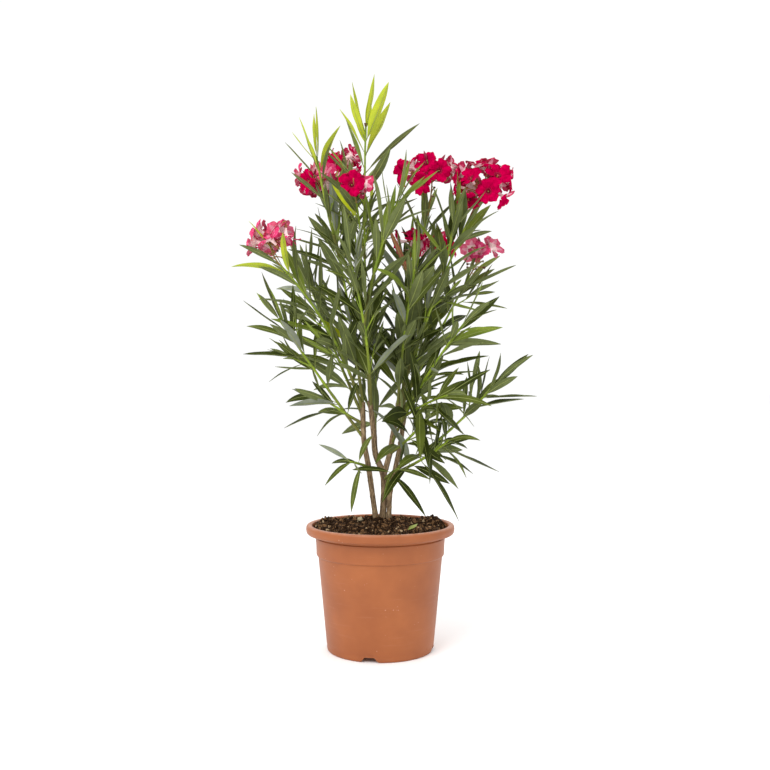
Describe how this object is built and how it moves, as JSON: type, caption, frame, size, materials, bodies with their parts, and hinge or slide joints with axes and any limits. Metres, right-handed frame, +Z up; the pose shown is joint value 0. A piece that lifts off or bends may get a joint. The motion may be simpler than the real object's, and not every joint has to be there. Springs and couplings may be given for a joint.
{
  "type": "potted oleander",
  "caption": "flowering oleander in a round terracotta-coloured nursery pot: woody stems, green shoots, narrow leaves in whorls and red flower trusses",
  "frame": {"origin": "middle of the pot's flat underside, where it stands on the ground", "axes": "+Z up along the stems, +X to the right and -Y to the front as the plant is pictured"},
  "size_m": [0.4758, 0.3467, 0.9298],
  "materials": {
    "pot": "moulded polypropylene, terracotta coloured, satin",
    "soil": "moist peat and bark mix, crumbly",
    "bark": "smooth grey-brown bark with fine cracks",
    "shoot": "green living shoot, smooth",
    "leaf": "leathery evergreen leaf, dull sheen above, paler below",
    "blossom": "thin petals, crimson with pink throats"
  },
  "bodies": {
    "root": {"pot": "pot", "soil": "soil", "stem_left": "bark", "stem_middle": "bark", "stem_right": "bark", "arm_right": "bark", "bough_back_left": "shoot", "bough_back_low": "shoot", "bough_back_middle": "shoot", "bough_back_right": "shoot", "bough_centre_left": "shoot", "bough_left_high": "shoot", "bough_left_inner": "shoot", "bough_left_low": "shoot", "bough_middle": "shoot", "bough_right_back": "shoot", "bough_right_centre": "shoot", "bough_right_high": "shoot", "bough_right_inner": "shoot", "bough_right_low": "shoot", "bough_right_mid": "shoot", "bough_right_outer": "shoot", "bough_top": "shoot", "bough_upper_left": "shoot", "foliage_back_left": "leaf", "foliage_back_low": "leaf", "foliage_back_middle": "leaf", "foliage_back_right": "leaf", "foliage_centre": "leaf", "foliage_centre_left": "leaf", "foliage_front_foot": "leaf", "foliage_left_curl": "leaf", "foliage_left_foot": "leaf", "foliage_left_high": "leaf", "foliage_left_inner": "leaf", "foliage_left_low": "leaf", "foliage_middle": "leaf", "foliage_right_back": "leaf", "foliage_right_centre": "leaf", "foliage_right_foot": "leaf", "foliage_right_fork": "leaf", "foliage_right_heart": "leaf", "foliage_right_high": "leaf", "foliage_right_inner": "leaf", "foliage_right_low": "leaf", "foliage_right_mid": "leaf", "foliage_right_outer": "leaf", "foliage_right_upper": "leaf", "foliage_top": "leaf", "foliage_upper_left": "leaf", "truss_back_middle": "blossom", "truss_back_right": "blossom", "truss_left_high": "blossom", "truss_left_inner": "blossom", "truss_middle": "blossom", "truss_right_back": "blossom", "truss_right_centre": "blossom", "truss_right_high": "blossom", "truss_right_mid": "blossom"}
  },
  "joints": []
}
